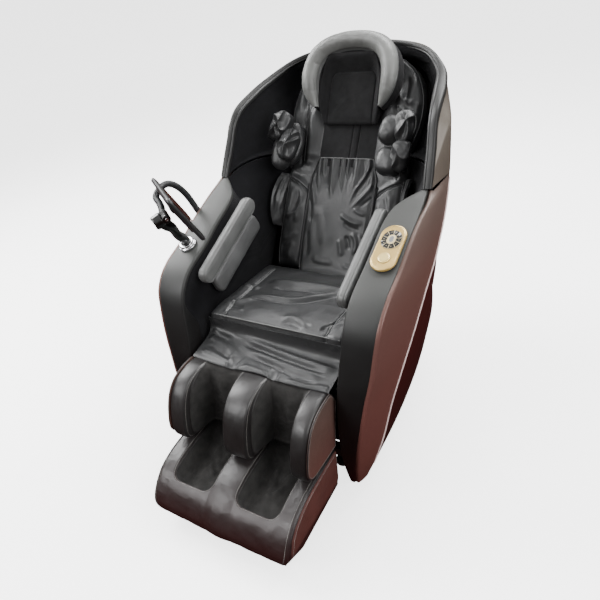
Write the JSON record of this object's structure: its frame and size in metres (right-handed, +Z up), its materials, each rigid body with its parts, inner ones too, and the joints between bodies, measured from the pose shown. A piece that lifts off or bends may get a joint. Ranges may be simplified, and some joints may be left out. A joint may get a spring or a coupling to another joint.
{
  "type": "massage chair",
  "caption": "Reclining massage chair with hooded back, padded arms, lifting leg rest with telescoping foot box, massage carriage on rails and a swivelling tablet on the arm.",
  "frame": {"origin": "on the floor under the centre of the whole chair's box", "axes": "+Z up, the sitter faces -Y, +X is the sitter's left"},
  "size_m": [0.7996, 1.3848, 1.1787],
  "materials": {
    "steel_frame": "satin powder coat",
    "zinc": "zinc plated",
    "rubber_black": "moulded rubber",
    "panel_brown": "satin metallic lacquer, taupe above and red brown below",
    "skirt_maroon": "satin metallic lacquer, dark maroon",
    "hood_brown": "satin metallic lacquer",
    "strip_pink": "translucent light bar",
    "arm_grey": "satin",
    "rim_grey": "satin",
    "lining_black": "matte flocked lining",
    "leather_black": "glossy wrinkled synthetic leather",
    "fabric_black": "matte stretch fabric",
    "pillow_leather": "satin synthetic leather",
    "leg_leather": "charcoal synthetic leather with pale stitching",
    "leg_side": "brown embossed synthetic leather",
    "gold": "satin gold lacquer",
    "key_black": "gloss",
    "key_grey": "satin",
    "key_gold": "satin gold lacquer",
    "chrome": "polished",
    "gloss_black": "high gloss",
    "tablet_grey": "satin",
    "screen_black": "glossy glass",
    "conduit_black": "ribbed flexible conduit",
    "mechanism_grey": "satin",
    "shaft_steel": "ground",
    "roller_tan": "polyurethane tread",
    "pump_grey": "matte",
    "control_green": "matte",
    "cover_dark": "textured",
    "switch_red": "gloss"
  },
  "bodies": {
    "root": {"base_frame": "steel_frame", "levelling_feet": "rubber_black", "wheel_bracket": "zinc", "side_panel_left": "panel_brown", "side_panel_right": "panel_brown", "side_skirt_left": "skirt_maroon", "side_skirt_right": "skirt_maroon", "light_strip_left": "strip_pink", "light_strip_right": "strip_pink", "arm_cap_left": "arm_grey", "arm_cap_right": "arm_grey", "arm_liner_left": "lining_black", "arm_liner_right": "lining_black", "arm_airbag_left": "leather_black", "arm_airbag_right": "leather_black", "hip_pad_left": "leather_black", "hip_pad_right": "leather_black", "seat_pan": "steel_frame", "seat_cushion": "leather_black", "seat_flap": "leather_black", "base_cover": "cover_dark", "control_box": "control_green", "air_pump": "pump_grey", "power_inlet": "key_black", "recline_pins": "zinc", "leg_rest_pins": "zinc", "control_plate": "gold", "tablet_base_ring": "chrome", "conduit": "conduit_black", "conduit_gland": "rubber_black"},
    "wheel_l": {"wheel_left": "rubber_black"},
    "wheel_r": {"wheel_right": "rubber_black"},
    "ring_key_press": {"ring_key": "key_black"},
    "centre_key_press": {"centre_key": "key_grey"},
    "round_key_press": {"round_key": "key_gold"},
    "switch_rocker": {"power_switch": "switch_red"},
    "stand": {"tablet_stand": "gloss_black"},
    "tablet": {"tablet_housing": "tablet_grey", "tablet_screen": "screen_black"},
    "back": {"back_frame": "steel_frame", "guide_rails": "zinc", "hood_shell": "hood_brown", "back_cover": "hood_brown", "hood_rim": "rim_grey", "hood_lining": "lining_black", "back_cushion": "leather_black", "headrest_pad": "fabric_black", "head_pillow": "pillow_leather", "shoulder_airbags": "leather_black"},
    "carriage": {"massage_carriage": "mechanism_grey", "lift_motor": "pump_grey"},
    "kneader": {"kneading_shaft": "shaft_steel"},
    "roller_l": {"massage_roller_left": "roller_tan"},
    "roller_r": {"massage_roller_right": "roller_tan"},
    "leg_rest": {"leg_rest_frame": "steel_frame", "calf_cushions": "leg_leather", "calf_side_panels": "leg_side"},
    "foot": {"foot_box": "leg_leather", "foot_liners": "fabric_black"},
    "foot_roller_set": {"foot_rollers": "roller_tan"}
  },
  "joints": [
    {"name": "recline", "type": "hinge", "parent": "root", "child": "back", "pos_m": [0, 0.2236, 0.42], "axis": [-1, 0, 0], "range_deg": [0, 35]},
    {"name": "leg_lift", "type": "hinge", "parent": "root", "child": "leg_rest", "pos_m": [0, -0.3014, 0.35], "axis": [-1, 0, 0], "range_deg": [0, 75], "deforming": ["seat_flap"]},
    {"name": "foot_extend", "type": "slide", "parent": "leg_rest", "child": "foot", "axis": [0, -0.1719, -0.9851], "range_m": [0, 0.1]},
    {"name": "foot_roller_spin", "type": "hinge", "parent": "foot", "child": "foot_roller_set", "pos_m": [0, -0.5064, 0.092], "axis": [1, 0, 0], "continuous": true},
    {"name": "carriage_travel", "type": "slide", "parent": "back", "child": "carriage", "axis": [0, 0.5563, 0.831], "range_m": [-0.02, 0.34]},
    {"name": "knead_spin", "type": "hinge", "parent": "carriage", "child": "kneader", "pos_m": [0, 0.30101, 0.57877], "axis": [1, 0, 0], "continuous": true},
    {"name": "roller_left_spin", "type": "hinge", "parent": "kneader", "child": "roller_l", "pos_m": [0, 0.31881, 0.60536], "axis": [1, 0, 0], "continuous": true},
    {"name": "roller_right_spin", "type": "hinge", "parent": "kneader", "child": "roller_r", "pos_m": [0, 0.31881, 0.60536], "axis": [1, 0, 0], "continuous": true},
    {"name": "wheel_left_spin", "type": "hinge", "parent": "root", "child": "wheel_l", "pos_m": [0, 0.3556, 0.037], "axis": [1, 0, 0], "continuous": true},
    {"name": "wheel_right_spin", "type": "hinge", "parent": "root", "child": "wheel_r", "pos_m": [0, 0.3556, 0.037], "axis": [1, 0, 0], "continuous": true},
    {"name": "ring_key_travel", "type": "slide", "parent": "root", "child": "ring_key_press", "axis": [0, 0.3987, -0.9171], "range_m": [0, 0.001], "stiffness_N_per_m": 600},
    {"name": "centre_key_travel", "type": "slide", "parent": "root", "child": "centre_key_press", "axis": [0, 0.3987, -0.9171], "range_m": [0, 0.001], "stiffness_N_per_m": 400},
    {"name": "round_key_travel", "type": "slide", "parent": "root", "child": "round_key_press", "axis": [0, 0.3987, -0.9171], "range_m": [0, 0.001], "stiffness_N_per_m": 400},
    {"name": "switch_rock", "type": "hinge", "parent": "root", "child": "switch_rocker", "pos_m": [-0.06, 0.378, 0.12], "axis": [1, 0, 0], "range_deg": [0, 9]},
    {"name": "stand_swivel", "type": "hinge", "parent": "root", "child": "stand", "pos_m": [-0.328, -0.1804, 0.681], "axis": [0, -0.3987, 0.9171], "range_deg": [-45, 60], "deforming": ["conduit"]},
    {"name": "tablet_tilt", "type": "hinge", "parent": "stand", "child": "tablet", "pos_m": [-0.304, -0.2604, 0.816], "axis": [0.8072, -0.5903, 0], "range_deg": [-4, 20]}
  ],
  "couplings": [
    {"joint": "foot_extend", "follows": "leg_lift", "m_per_rad": 0.0763}
  ]
}
